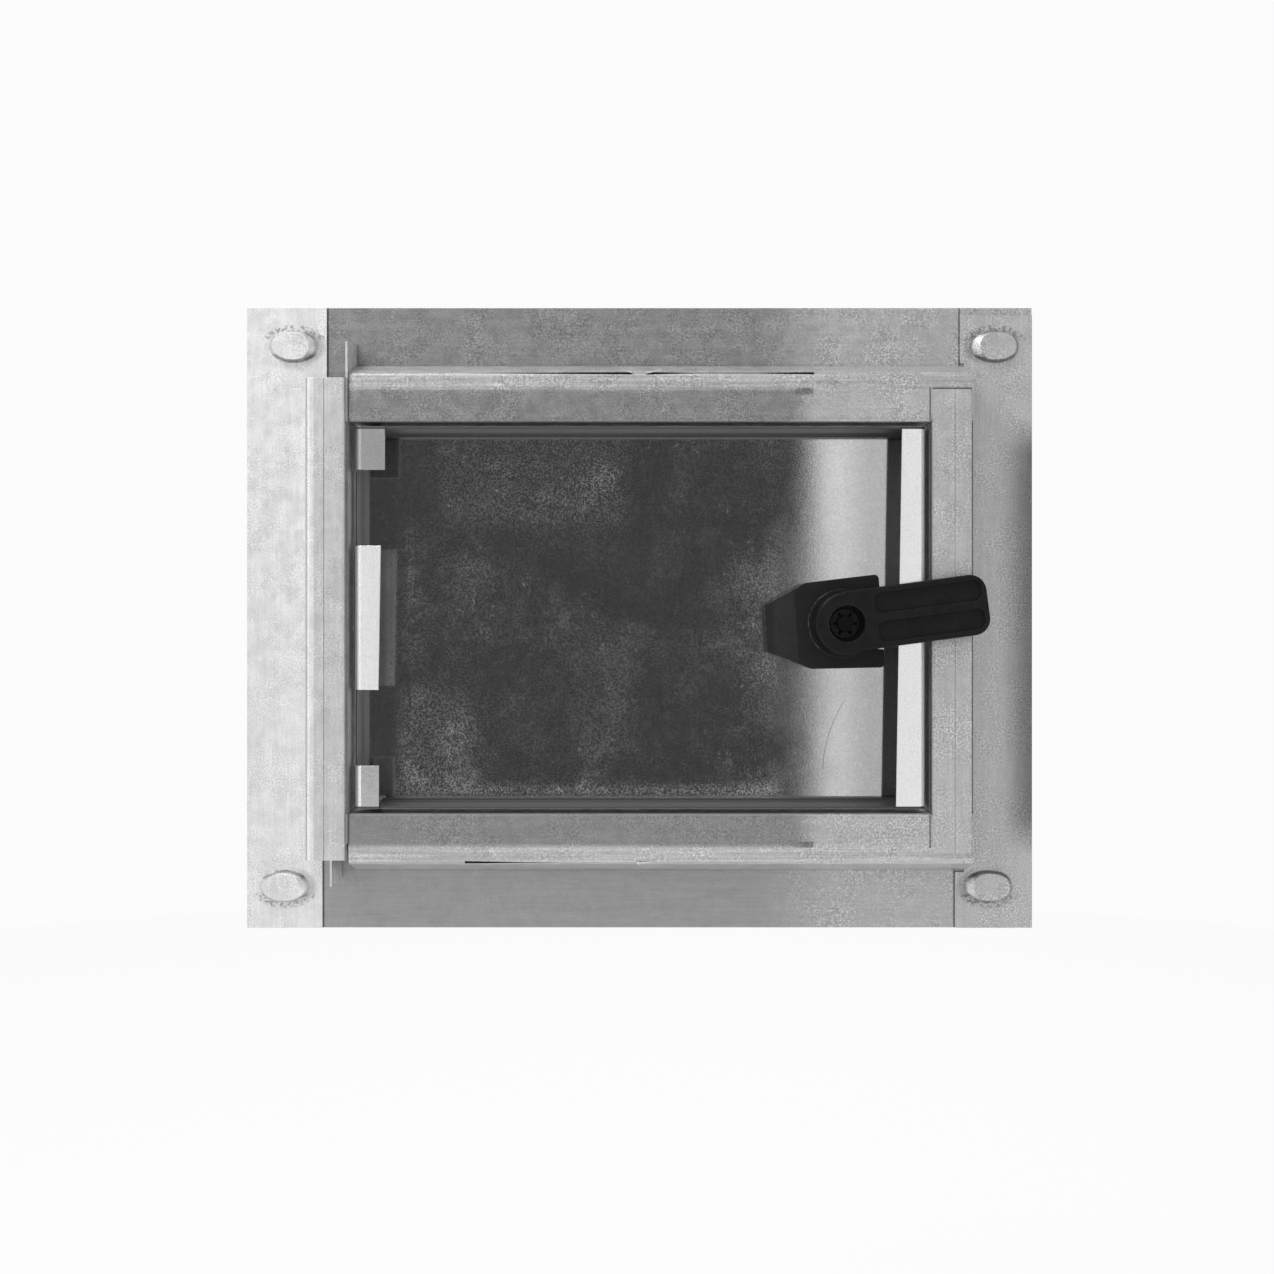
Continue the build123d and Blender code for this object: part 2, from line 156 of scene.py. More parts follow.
class FinishSettings(bpy.types.PropertyGroup):
    """Tones and grain of the zinc, the plated steel and the plastic."""

    # The upright strips and the rails are one zinc; their different greys are painted light, brightest on the
    # hinge side and darkest on the rails.
    left_stile: grey_prop("Left stile", "Zinc on the hinge side's strip", 0.74)
    right_stile: grey_prop("Right stile", "Zinc on the lock side's strip", 0.56)
    rails: grey_prop("Rails", "Zinc on the upper and lower strips", 0.42)
    leaf: grey_prop("Leaf", "Brighter zinc on the door leaf", 0.62)
    plated: grey_prop("Plated steel", "Hinge pins", 0.45)
    torn_zinc: grey_prop("Torn zinc", "Slivers beside the slits", 0.7)
    blackened: grey_prop("Blackened steel", "Retaining ring in the latch's hub", 0.02)
    plastic: grey_prop("Plastic", "Black moulded lock and latch", 0.011)
    bloom_size: length_prop("Bloom size", "Width of a cloud in the zinc", 5.0 * MM, 0.5 * MM)
    grain_size: length_prop("Grain size", "Width of a rolling line", 0.45 * MM, 0.1 * MM)
    edge_radius: length_prop("Edge radius", "Rounding that a sheet's cut edge seems to have", 0.18 * MM)
    speck_size: length_prop("Speck size", "Width of the zinc's finest specks", 0.55 * MM, 0.1 * MM)
    relief_depth: length_prop("Relief depth", "Height of the zinc coat's relief", 0.02 * MM)


class StageSettings(bpy.types.PropertyGroup):
    """Camera, lamps, floor and surroundings."""

    camera_distance: length_prop("Camera distance", "From the wall's plane to the lens", 0.5, 0.1)
    pixel: length_prop("Pixel", "Width of one photo pixel in the wall's plane", 0.3185 * MM, 0.01 * MM)
    floor_drop: length_prop("Floor drop", "From the door's middle down to the floor", 0.34, 0.1)
    background: share_prop("Background", "Brightness that the camera sees behind the door", 0.97)
    ambient: share_prop("Ambient", "Brightness of the surroundings on dull surfaces", 0.6)
    key_power: power_prop("Key power", "Power of the soft lamp on the left", 9.0)
    fill_power: power_prop("Fill power", "Power of the soft lamp on the right", 3.0)
    flag_left: slope_prop("Flag left", "Left end of the dark flag at the lens, as a slope", -0.26)
    flag_right: slope_prop("Flag right", "Right end of the dark flag at the lens, as a slope", 0.105)
    flag_height: slope_prop("Flag height", "Upper end of the dark flag, as a slope", 0.3, 0.0)
    flag_drop: slope_prop("Flag drop", "Lower end of the dark flag, as a slope", 0.15, 0.0)


class Wiring:
    """Adds nodes to one tree. An input takes a number, a vector or another node's output."""

    def __init__(self, tree):
        self.tree = tree

    def feed(self, socket, value):
        if isinstance(value, bpy.types.NodeSocket):
            self.tree.links.new(value, socket)
        else:
            socket.default_value = value

    def add(self, kind, inputs=None, **settings):
        node = self.tree.nodes.new(kind)
        for name, value in settings.items():
            setattr(node, name, value)
        for name, value in (inputs or {}).items():
            self.feed(node.inputs[name], value)
        return node

    def math(self, operation, *values, clamp=False):
        inputs = dict(enumerate(values))
        return self.add("ShaderNodeMath", inputs, operation=operation, use_clamp=clamp).outputs[0]

    def times(self, first, *others):
        """Multiply all the values."""
        for other in others:
            first = self.math("MULTIPLY", first, other)
        return first

    def most(self, first, *others):
        """Give the largest of the values."""
        for other in others:
            first = self.math("MAXIMUM", first, other)
        return first

    def scaled(self, value, factor, term):
        """Give value * factor + term."""
        return self.math("MULTIPLY_ADD", value, factor, term)

    def vary(self, tone, part, strength, middle=0.0):
        """Multiply a tone by 1 + strength * (part - middle)."""
        return self.times(tone, self.scaled(part, strength, 1.0 - middle * strength))

    def per(self, size, finer=1.0):
        """Give a texture's scale for a pattern of this size, or so many times finer."""
        scale = self.math("DIVIDE", 1.0, size)
        return scale if finer == 1.0 else self.times(scale, finer)

    def ramp(self, value, low, high, start=0.0, end=1.0):
        """Ease from start to end while the value goes from low to high."""
        inputs = {"Value": value, "From Min": low, "From Max": high, "To Min": start, "To Max": end}
        return self.add("ShaderNodeMapRange", inputs, interpolation_type="SMOOTHSTEP").outputs[0]

    def band(self, value, low, high, fade):
        """Give 1 between low and high, and ease to 0 over the fade on either side."""
        return self.times(self.ramp(value, low - fade, low), self.ramp(value, high, high + fade, 1.0, 0.0))

    def blend(self, share, first, second):
        inputs = {"Factor": share, "A": first, "B": second}
        return self.add("ShaderNodeMix", inputs, data_type="FLOAT").outputs[0]

    def noise(self, vector, scale, detail=3.0, roughness=0.55, distortion=0.0):
        inputs = {
            "Vector": vector, "Scale": scale, "Detail": detail,
            "Roughness": roughness, "Distortion": distortion,
        }
        return self.add("ShaderNodeTexNoise", inputs).outputs["Fac"]

    def axes(self, vector):
        return tuple(self.add("ShaderNodeSeparateXYZ", {0: vector}).outputs)

    def vector(self, operation, first, second):
        return self.add("ShaderNodeVectorMath", {0: first, 1: second}, operation=operation).outputs[0]

    def dot(self, first, second):
        inputs = {0: first, 1: second}
        return self.add("ShaderNodeVectorMath", inputs, operation="DOT_PRODUCT").outputs["Value"]

    def shade(self, colour, tone):
        """Multiply a colour by a tone."""
        node = self.add("ShaderNodeMix", data_type="RGBA", blend_type="MULTIPLY")
        self.feed(node.inputs[0], 1.0)
        self.feed(node.inputs[6], (*colour, 1.0))
        self.feed(node.inputs[7], tone)
        return node.outputs[2]

    def group(self, tree, **inputs):
        node = self.add("ShaderNodeGroup", node_tree=tree)
        for name, value in inputs.items():
            self.feed(node.inputs[name.replace("_", " ").capitalize()], value)
        return node.outputs


def new_group(name, inputs, outputs):
    """Make a shader node group and give its tree, its wiring and its two ends."""
    tree = bpy.data.node_groups.new(name, "ShaderNodeTree")
    kinds = {"vector": "NodeSocketVector", "value": "NodeSocketFloat", "normal": "NodeSocketVector"}
    for socket, kind, default in inputs:
        item = tree.interface.new_socket(name=socket, in_out="INPUT", socket_type=kinds[kind])
        if default is not None:
            item.default_value = default
    for socket, kind in outputs:
        tree.interface.new_socket(name=socket, in_out="OUTPUT", socket_type=kinds[kind])
    wiring = Wiring(tree)
    return tree, wiring, wiring.add("NodeGroupInput").outputs, wiring.add("NodeGroupOutput").inputs


def zinc_bloom_group():
    """Clouds, small crystals, specks and wide patches of a zinc coat."""
    tree, w, given, out = new_group(
        "Zinc bloom",
        [("Vector", "vector", None), ("Size", "value", 5.0 * MM), ("Speck", "value", 0.6 * MM)],
        [("Cloud", "value"), ("Crystal", "value"), ("Speckle", "value"), ("Patch", "value")],
    )
    crystals_to_cloud = 3.2
    patches_to_cloud = 0.35
    place = given["Vector"]
    cloud = w.noise(place, w.per(given["Size"]), detail=6.0, roughness=0.62, distortion=0.4)
    cells = w.add("ShaderNodeTexVoronoi", {"Vector": place, "Scale": w.per(given["Size"], crystals_to_cloud)})
    speckle = w.noise(place, w.per(given["Speck"]), detail=3.0, roughness=0.7)
    patch = w.noise(place, w.per(given["Size"], patches_to_cloud), detail=5.0, roughness=0.7)
    w.feed(out["Cloud"], w.ramp(cloud, 0.36, 0.64))
    w.feed(out["Crystal"], w.add("ShaderNodeSeparateColor", {0: cells.outputs["Color"]}).outputs[0])
    w.feed(out["Speckle"], w.ramp(speckle, 0.42, 0.62))
    w.feed(out["Patch"], w.ramp(patch, 0.42, 0.6))
    return tree


def rolling_grain_group():
    """Fine lines and wider streaks that rolling leaves along a sheet."""
    tree, w, given, out = new_group(
        "Rolling grain",
        [("Vector", "vector", None), ("Stretch", "vector", (1.0, 1.0, 1.0)), ("Size", "value", 0.5 * MM)],
        [("Line", "value"), ("Streak", "value")],
    )
    streaks_to_line = 0.16
    drawn = w.vector("MULTIPLY", given["Vector"], given["Stretch"])
    streak = w.noise(drawn, w.per(given["Size"], streaks_to_line), detail=3.0, roughness=0.6)
    w.feed(out["Line"], w.noise(drawn, w.per(given["Size"]), detail=2.0, roughness=0.6))
    w.feed(out["Streak"], w.ramp(streak, 0.3, 0.7))
    return tree


def scattered(w, given, line, finer, detail, fade):
    """Keep a line in patches that cover the group's given share."""
    patch = w.noise(given["Vector"], w.per(given["Size"], finer), detail=detail)
    bound = w.math("SUBTRACT", 1.0, given["Share"])
    return w.times(line, w.ramp(patch, bound, w.math("ADD", bound, fade)))


def scratch_group():
    """Sparse hair scratches that wander over a surface."""
    tree, w, given, out = new_group(
        "Hair scratches",
        [
            ("Vector", "vector", None), ("Size", "value", 20.0 * MM),
            ("Width", "value", 0.08 * MM), ("Share", "value", 0.3),
        ],
        [("Mask", "value")],
    )
    place = given["Vector"]
    scale = w.per(given["Size"])
    wander = w.add("ShaderNodeTexNoise", {"Vector": place, "Scale": scale, "Detail": 2.0}).outputs["Color"]
    swing = w.add("ShaderNodeVectorMath", {0: wander, "Scale": given["Size"]}, operation="SCALE")
    cells = w.add(
        "ShaderNodeTexVoronoi", {"Vector": w.vector("ADD", place, swing.outputs[0]), "Scale": scale},
        feature="DISTANCE_TO_EDGE",
    )
    line = w.ramp(cells.outputs["Distance"], 0.0, w.times(given["Width"], scale), 1.0, 0.0)
    w.feed(out["Mask"], scattered(w, given, line, finer=1.7, detail=2.0, fade=0.08))
    return tree


def curly_scratch_group():
    """Fine lines that curl about, as level lines of a slow noise."""
    tree, w, given, out = new_group(
        "Curly scratches",
        [("Vector", "vector", None), ("Size", "value", 8.0 * MM), ("Share", "value", 0.4)],
        [("Mask", "value")],
    )
    field = w.noise(given["Vector"], w.per(given["Size"]), detail=3.0, roughness=0.6, distortion=1.2)
    off_level = w.math("ABSOLUTE", w.math("SUBTRACT", field, 0.5))
    line = w.ramp(off_level, 0.002, 0.006, 1.0, 0.0)
    w.feed(out["Mask"], scattered(w, given, line, finer=1.4, detail=3.0, fade=0.1))
    return tree


def lone_scratch_group():
    """One scratch from a start down, at x = start + lean * depth + bow * depth squared + a wave."""
    tree, w, given, out = new_group(
        "Lone scratch",
        [
            ("Vector", "vector", None), ("Start", "vector", (0.0, 0.0, 0.0)), ("Length", "value", 20.0 * MM),
            ("Lean", "value", 0.0), ("Bow", "value", 0.0), ("Wave", "value", 0.0),
        ],
        [("Mask", "value")],
    )
    radians_per_metre = 2400.0
    core, rim = 0.08 * MM, 0.22 * MM
    aside, _, depth = w.axes(w.vector("SUBTRACT", given["Vector"], given["Start"]))
    line = w.times(depth, w.scaled(given["Bow"], depth, given["Lean"]))
    line = w.scaled(w.math("SINE", w.times(depth, radians_per_metre)), given["Wave"], line)
    drawn = w.ramp(w.math("ABSOLUTE", w.math("SUBTRACT", aside, line)), core, rim, 1.0, 0.0)
    below_start = w.math("LESS_THAN", depth, 0.0)
    above_end = w.math("GREATER_THAN", depth, w.times(given["Length"], -1.0))
    w.feed(out["Mask"], w.times(drawn, below_start, above_end))
    return tree


def edge_wear_group():
    """Where a piece's edges stand out, and a normal that rounds them."""
    tree, w, given, out = new_group(
        "Edge wear",
        [("Radius", "value", 0.2 * MM)],
        [("Mask", "value"), ("Normal", "normal")],
    )
    # Cosines of the turn at which an edge begins to show and shows in full.
    begins, in_full = 0.995, 0.86
    rounded = w.add("ShaderNodeBevel", {"Radius": given["Radius"]}, samples=6).outputs[0]
    flat = w.add("ShaderNodeNewGeometry").outputs["Normal"]
    w.feed(out["Mask"], w.ramp(w.dot(rounded, flat), begins, in_full))
    w.feed(out["Normal"], rounded)
    return tree


def moulded_skin_group():
    """Spark-eroded skin and faint flow marks of moulded plastic."""
    tree, w, given, out = new_group(
        "Moulded skin",
        [("Vector", "vector", None), ("Size", "value", 0.3 * MM)],
        [("Height", "value"), ("Flow", "value")],
    )
    flows_to_grain = 0.05
    flow = w.noise(given["Vector"], w.per(given["Size"], flows_to_grain), detail=4.0, distortion=1.0)
    w.feed(out["Height"], w.noise(given["Vector"], w.per(given["Size"]), detail=3.0, roughness=0.6))
    w.feed(out["Flow"], w.ramp(flow, 0.35, 0.65))
    return tree


def dusty_corner_shade_group():
    """Mask of inner corners found by ambient occlusion, for painted shade and for settled dirt that
    roughens the zinc.
    """
    tree, w, given, out = new_group(
        "Dusty corners with painted shade",
        [("Vector", "vector", None), ("Reach", "value", 3.0 * MM)],
        [("Mask", "value")],
    )
    patches_per_metre = 500.0
    open_sky = w.add("ShaderNodeAmbientOcclusion", {"Distance": given["Reach"]}, samples=6).outputs["AO"]
    patch = w.noise(given["Vector"], patches_per_metre, detail=3.0)
    w.feed(out["Mask"], w.times(w.ramp(open_sky, 0.75, 0.25), w.ramp(patch, 0.2, 0.7, 0.5, 1.0)))
    return tree


def pressed_mark_group():
    """Marks of a pressed joint: painted shadow along the line where it is sheared, crumpled zinc,
    painted shade beside a soft dent, and a painted highlight on its bright ramp.
    """
    tree, w, given, out = new_group(
        "Pressed mark",
        [
            ("Vector", "vector", None), ("Centre", "vector", (0.0, 0.0, 0.0)),
            ("Half length", "value", PRESS_LENGTH / 2), ("Half width", "value", PRESS_WIDTH / 2),
        ],
        [("Shear shadow", "value"), ("Crumple", "value"), ("Dent shadow", "value"), ("Painted glint", "value")],
    )
    wobbles_per_metre = 900.0
    near_x, _, near_z = w.axes(w.vector("SUBTRACT", given["Vector"], given["Centre"]))
    centre_x, _, centre_z = w.axes(given["Centre"])
    outward_x = w.times(near_x, w.math("SIGN", centre_x))
    outward_z = w.times(near_z, w.math("SIGN", centre_z))

    # The oval's own measure is 0 in its middle and 1 on its rim.
    along = w.math("POWER", w.math("DIVIDE", near_x, given["Half length"]), 2.0)
    across = w.math("POWER", w.math("DIVIDE", near_z, given["Half width"]), 2.0)
    reach = w.math("SQRT", w.math("ADD", along, across))

    wobble = w.noise(given["Vector"], wobbles_per_metre, detail=3.0)
    rough_rim = w.scaled(wobble, 0.12, w.math("SUBTRACT", reach, 0.06))
    inner_side = w.most(w.ramp(outward_z, -1.5 * MM, -3.2 * MM), 0.35)
    w.feed(out["Shear shadow"], w.times(w.band(rough_rim, 0.93, 1.02, 0.07), inner_side))
    outer_side = w.ramp(outward_z, 1.5 * MM, 3.2 * MM)
    ruffle = w.ramp(wobble, 0.45, 0.6)
    w.feed(out["Crumple"], w.times(w.band(reach, 1.02, 1.32, 0.16), outer_side, ruffle))
    end_side = w.ramp(outward_x, -2.0 * MM, -7.0 * MM)
    w.feed(out["Dent shadow"], w.times(w.band(reach, 1.0, 1.15, 0.28), end_side))
    ramp_side = w.ramp(outward_x, -4.4 * MM, -5.0 * MM)
    w.feed(out["Painted glint"], w.times(w.band(reach, 0.62, 0.93, 0.06), ramp_side))
    return tree


GROUPS = {}


def effect(maker):
    """Give a node group, made the first time that it is asked for."""
    if maker not in GROUPS:
        GROUPS[maker] = maker()
    return GROUPS[maker]


def new_material(name, **sockets):
    """Make a material whose Principled shader has these fixed sockets."""
    material = bpy.data.materials.new(name)
    material.use_nodes = True
    shader = material.node_tree.nodes["Principled BSDF"]
    for socket, value in sockets.items():
        shader.inputs[socket.replace("_", " ")].default_value = value
    return material, Wiring(material.node_tree), shader.inputs


def coat(name, material):
    """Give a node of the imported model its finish."""
    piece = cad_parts[name]
    if piece.material_slots:
        piece.material_slots[0].material = material
    else:
        piece.data.materials.append(material)


def sheet_coordinates(w):
    """Object coordinates and their three axes."""
    place = w.add("ShaderNodeTexCoord").outputs["Object"]
    return place, w.axes(place)


def varied(w, tone, changes):
    """Vary a tone by rows of a part, its middle and its strength."""
    for part, middle, strength in changes:
        tone = w.vary(tone, part, strength, middle)
    return tone


def press_marks(w, place, node):
    """Wire the marks beside the pressed joints of a node, painted shadows and highlight among them."""
    total = {"Shear shadow": 0.0, "Crumple": 0.0, "Dent shadow": 0.0, "Painted glint": 0.0}
    for centre in PRESSES[node]:
        mark = w.group(
            effect(pressed_mark_group), vector=place, centre=centre,
            half_length=PRESS_LENGTH / 2, half_width=PRESS_WIDTH / 2,
        )
        for part in total:
            total[part] = w.math("ADD", total[part], mark[part])
    return total


def facing_back(w, normal, share):
    """Turn a normal by a share towards the piece's own -Y, as on a bend that is almost sharp.

    A normal that faces away from -Y stays as it is.
    """
    back = w.add(
        "ShaderNodeVectorTransform", {0: (0.0, -1.0, 0.0)}, vector_type="NORMAL",
        convert_from="OBJECT", convert_to="WORLD",
    ).outputs[0]
    share = w.times(share, w.ramp(w.dot(normal, back), 0.0, 0.2))
    mixed = w.add("ShaderNodeMix", {0: share, 4: normal, 5: back}, data_type="VECTOR").outputs[1]
    return w.add("ShaderNodeVectorMath", {0: mixed}, operation="NORMALIZE").outputs[0]


def relief(w, height, normal, depth, strength):
    """Bump of a given depth on a normal."""
    inputs = {"Strength": strength, "Distance": depth, "Height": height, "Normal": normal}
    return w.add("ShaderNodeBump", inputs).outputs[0]


def zinc_sheet(name, colour, stretch, tone_at, roughness, marks=None, sharp=None):
    """Dull galvanised sheet of the frame.

    tone_at wires its tone and the strength of its specks, marks names the node whose pressed
    joints mark it, and sharp wires where its bends are tight.
    """
    look = bpy.context.scene.door_finish
    material, w, shader = new_material(name)
    place, axes = sheet_coordinates(w)
    zinc = w.group(effect(zinc_bloom_group), vector=place, size=look.bloom_size, speck=look.speck_size)
    rolled = w.group(effect(rolling_grain_group), vector=place, stretch=stretch, size=look.grain_size)
    worn = w.group(effect(edge_wear_group), radius=look.edge_radius)
    hairs = w.group(effect(scratch_group), vector=place, size=14.0 * MM, width=0.05 * MM, share=0.36)
    dust_and_shade = w.group(effect(dusty_corner_shade_group), vector=place, reach=4.0 * MM)

    tone, specks = tone_at(w, place, axes)
    specks = w.times(specks, w.scaled(zinc["Patch"], 0.8, 0.3))
    tone = w.times(tone, w.scaled(w.math("SUBTRACT", zinc["Speckle"], SPECKLE_MEAN), specks, 1.0))
    # The corner mask darkens the tone as painted shade in inner corners.
    changes = [
        (zinc["Cloud"], 0.5, 0.06), (zinc["Crystal"], 0.5, 0.05),
        (rolled["Line"], 0.5, 0.3), (rolled["Streak"], 0.5, 0.06),
        (hairs["Mask"], 0.0, 0.12), (worn["Mask"], 0.0, 0.1), (dust_and_shade["Mask"], 0.0, -0.35),
    ]
    if marks:
        beside = press_marks(w, place, marks)
        # Painted shadows along the shear lines and beside the dents, and a painted highlight on the ramps.
        changes += [
            (beside["Shear shadow"], 0.0, -0.6), (beside["Crumple"], 0.0, -0.5),
            (beside["Dent shadow"], 0.0, -0.3), (beside["Painted glint"], 0.0, 0.25),
        ]
    w.feed(shader["Base Color"], w.shade(colour, varied(w, tone, changes)))
    w.feed(shader["Metallic"], w.scaled(zinc["Cloud"], -0.15, 0.8))
    rough = w.scaled(zinc["Cloud"], 0.1, roughness - 0.05)
    w.feed(shader["Roughness"], w.scaled(dust_and_shade["Mask"], 0.25, rough))

    height = w.scaled(zinc["Crystal"], 0.5, w.times(rolled["Line"], 0.8))
    height = w.scaled(zinc["Speckle"], 0.6, height)
    height = w.scaled(hairs["Mask"], -0.6, height)
    normal = worn["Normal"]
    if sharp:
        normal = facing_back(w, normal, sharp(w, axes))
    w.feed(shader["Normal"], relief(w, height, normal, look.relief_depth, 0.8))
    return material


def two_sided(w, y, behind, reveal, front, front_tone):
    """Put painted shade on the reveal, which lines the gap beside the leaf, and give the front an even tone.
    """
    behind = w.vary(behind, reveal, REVEAL_PAINTED_SHADE)
    return w.blend(w.ramp(y, front, front + FACE_FADE), behind, front_tone)


def left_tone(w, place, axes):
    """Tone and specks of the hinge side's strip, with painted light and shade.

    A painted highlight runs down the strip beside its outer bend, painted shadow lines lie on that
    bend and along the jamb, and painted shade darkens the reveal.
    """
    x, y, z = axes
    rear = w.ramp(y, -14.2 * MM, -15.2 * MM)
    face = w.ramp(y, -14.0 * MM, -15.5 * MM, 1.17, 0.92)
    outer_highlight = w.band(x, -102.2 * MM, -100.7 * MM, 0.4 * MM)
    outline_shadow = w.band(x, -103.0 * MM, -102.7 * MM, 0.2 * MM)
    jamb_shadow = w.times(
        w.band(x, -REVEAL_SIDE - FACE_FADE, -DOORWAY_SIDE, 0.2 * MM), w.ramp(z, 74.3 * MM, 74.0 * MM),
    )
    bends = w.scaled(outer_highlight, 0.3, w.scaled(outline_shadow, -0.3, 1.0))
    bends = w.vary(bends, jamb_shadow, -0.55)
    behind = w.times(face, w.blend(rear, 1.0, bends))
    reveal = w.times(
        w.ramp(x, -REVEAL_SIDE - FACE_FADE, -REVEAL_SIDE), w.ramp(y, -14.6 * MM, -14.2 * MM),
        w.band(z, -74.7 * MM, 74.0 * MM, 0.2 * MM),
    )
    return two_sided(w, y, behind, reveal, SIDE_FRONT, 0.76), 0.3


def right_tone(w, place, axes):
    """Tone and specks of the lock side's strip, with painted light and shade.

    Painted shade darkens it outwards, painted shadow lines lie on its edges, and painted shade
    darkens the reveal.
    """
    x, y, z = axes
    # Painted shade darkens the strip towards its outer edge.
    outer_edge_shade = w.ramp(x, RIGHT_EDGE - 12 * MM, RIGHT_EDGE, 0.0, -0.66)
    outer_edge_shade = w.times(outer_edge_shade, w.band(z, -62 * MM, 50 * MM, 16 * MM))
    rear = w.ramp(y, -13.5 * MM, -14.5 * MM)
    outer_x = DOORWAY_SIDE + RIGHT_BOX
    # Thin lines of painted shadow at the gaps beside the strip's bends and along its top.
    inner_line = w.band(x, DOORWAY_SIDE, DOORWAY_SIDE + 0.3 * MM, 0.2 * MM)
    outer_line = w.band(x, outer_x - 0.5 * MM, outer_x, 0.2 * MM)
    top_line = w.band(z, 70.6 * MM, 71.2 * MM, 0.15 * MM)
    lines = w.math("ADD", w.math("ADD", inner_line, top_line), outer_line, clamp=True)
    behind = w.scaled(rear, 0.02, w.math("ADD", outer_edge_shade, 1.06))
    behind = w.vary(behind, w.times(lines, rear), -0.75)
    reveal = w.times(
        w.ramp(x, REVEAL_SIDE + FACE_FADE, REVEAL_SIDE), w.ramp(y, -15.0 * MM, -14.4 * MM),
    )
    return two_sided(w, y, behind, reveal, SIDE_FRONT, 1.0), 0.55


def right_bends(w, axes):
    """Where the bends of the lock side's strip are tight."""
    return w.ramp(axes[1], -14.7 * MM, -15.2 * MM)


class METERDOOR_OT_stiles(bpy.types.Operator):
    """Finish the two upright strips of the frame"""

    bl_idname = "meter_door.stiles"
    bl_label = "Upright strips"

    def execute(self, context):
        look = context.scene.door_finish
        upright = (1.0, 1.0, 0.04)
        left = zinc_sheet(
            "Zinc, left stile", look.left_stile, upright, left_tone, 0.46, marks="frame_left",
        )
        right = zinc_sheet(
            "Zinc, right stile", look.right_stile, upright, right_tone, 0.44, marks="frame_right",
            sharp=right_bends,
        )
        coat("frame_left", left)
        coat("frame_right", right)
        return {"FINISHED"}


def rail_rear(w, place, x, height, row):
    """Tone of a rail's rear face: a painted highlight on its outer strip and along its rim, and
    painted shadows at a tie and a step.
    """
    streaks_per_metre = 1100.0
    face = w.blend(w.ramp(x, 46 * MM, 57 * MM), *row["rear"])
    drawn = w.vector("MULTIPLY", place, (0.02, 1.0, 1.0))
    streaks = w.ramp(w.noise(drawn, streaks_per_metre, detail=2.0), 0.35, 0.65, 0.88, 1.12)
    strip = w.ramp(height, 69.4 * MM, 71.8 * MM)
    face = w.blend(strip, face, w.times(streaks, row["outer_highlight"]))
    rim = w.band(height, DOORWAY_END, REVEAL_END, 0.2 * MM)
    tie_end = w.times(
        w.ramp(x, SLIT_REACH - 13 * MM, SLIT_REACH - 1.6 * MM),
        w.ramp(x, SLIT_REACH + 0.1 * MM, SLIT_REACH - 0.4 * MM),
    )
    tie_shadow = w.times(w.math("POWER", tie_end, 3.0), w.band(height, 69.4 * MM, 70.6 * MM, 0.7 * MM))
    step = w.times(
        w.band(x, DOORWAY_SIDE - 0.45 * MM, DOORWAY_SIDE, 0.15 * MM), w.ramp(height, 71.3 * MM, 71.0 * MM),
    )
    return varied(w, face, [(rim, 0.0, 0.3), (tie_shadow, 0.0, -0.5), (step, 0.0, -0.6)])


def rail_flange(w, x, side, row):
    """Tone of a rail's flange, with a shadow where each side strip laps over it."""
    flange = w.blend(side, *row["flange"])
    for lap in row["laps"]:
        past = w.times(w.math("SUBTRACT", lap, x), math.copysign(1.0, lap))
        flange = w.vary(flange, w.band(past, 0.0, 0.35 * MM, 0.25 * MM), -0.6)
    return flange


def rail_tone(row):
    """Give what wires the tone and specks of a rail, which painted light makes darker to the left."""

    def wire(w, place, axes):
        x, y, z = axes
        height = w.math("ABSOLUTE", z)
        side = w.ramp(x, 35 * MM, 66 * MM)
        rear = w.ramp(y, -14.4 * MM, -14.8 * MM)
        leaning = w.math("SUBTRACT", height, w.times(y, RAIL_LEAN))
        # Painted light makes the sloped outer wall lighter.
        sloped = w.times(
            w.band(leaning, RAIL_FOOT - 0.3 * MM, RAIL_FOOT + 0.3 * MM, 0.2 * MM),
            w.ramp(y, -0.2 * MM, -0.6 * MM),
        )
        behind = w.blend(sloped, rail_flange(w, x, side, row), row["wall"])
        behind = w.blend(rear, behind, rail_rear(w, place, x, height, row))
        # Painted shadow makes the inside of the slits nearly black.
        slit_depth = w.times(
            w.band(leaning, RAIL_FOOT - 1.7 * MM, RAIL_FOOT - 0.45 * MM, 0.1 * MM),
            w.band(y, -14.2 * MM, -11.0 * MM, 0.1 * MM), w.band(x, -SLIT_REACH, SLIT_REACH, 0.5 * MM),
        )
        behind = w.vary(behind, slit_depth, -0.97)
        reveal = w.times(
            w.ramp(height, REVEAL_END + FACE_FADE, REVEAL_END), w.ramp(y, -14.4 * MM, -14.0 * MM),
        )
        specks = w.blend(w.most(side, w.times(rear, 0.8)), *row["specks"])
        return two_sided(w, y, behind, reveal, RAIL_FRONT, 1.28), specks

    return wire


def rail_bends(w, axes):
    """Where a rail's inner bend is tight."""
    near = w.ramp(w.math("ABSOLUTE", axes[2]), 62.6 * MM, 62.2 * MM)
    return w.times(near, w.ramp(axes[1], -13.9 * MM, -14.3 * MM))


class METERDOOR_OT_rails(bpy.types.Operator):
    """Finish the upper and lower strips of the frame"""

    bl_idname = "meter_door.rails"
    bl_label = "Level strips"

    def execute(self, context):
        look = context.scene.door_finish
        level = (0.04, 1.0, 1.0)
        for node, row in RAILS.items():
            coat(node, zinc_sheet(
                f"Zinc, {node}", look.rails, level, rail_tone(row), 0.42, sharp=rail_bends,
            ))
        return {"FINISHED"}


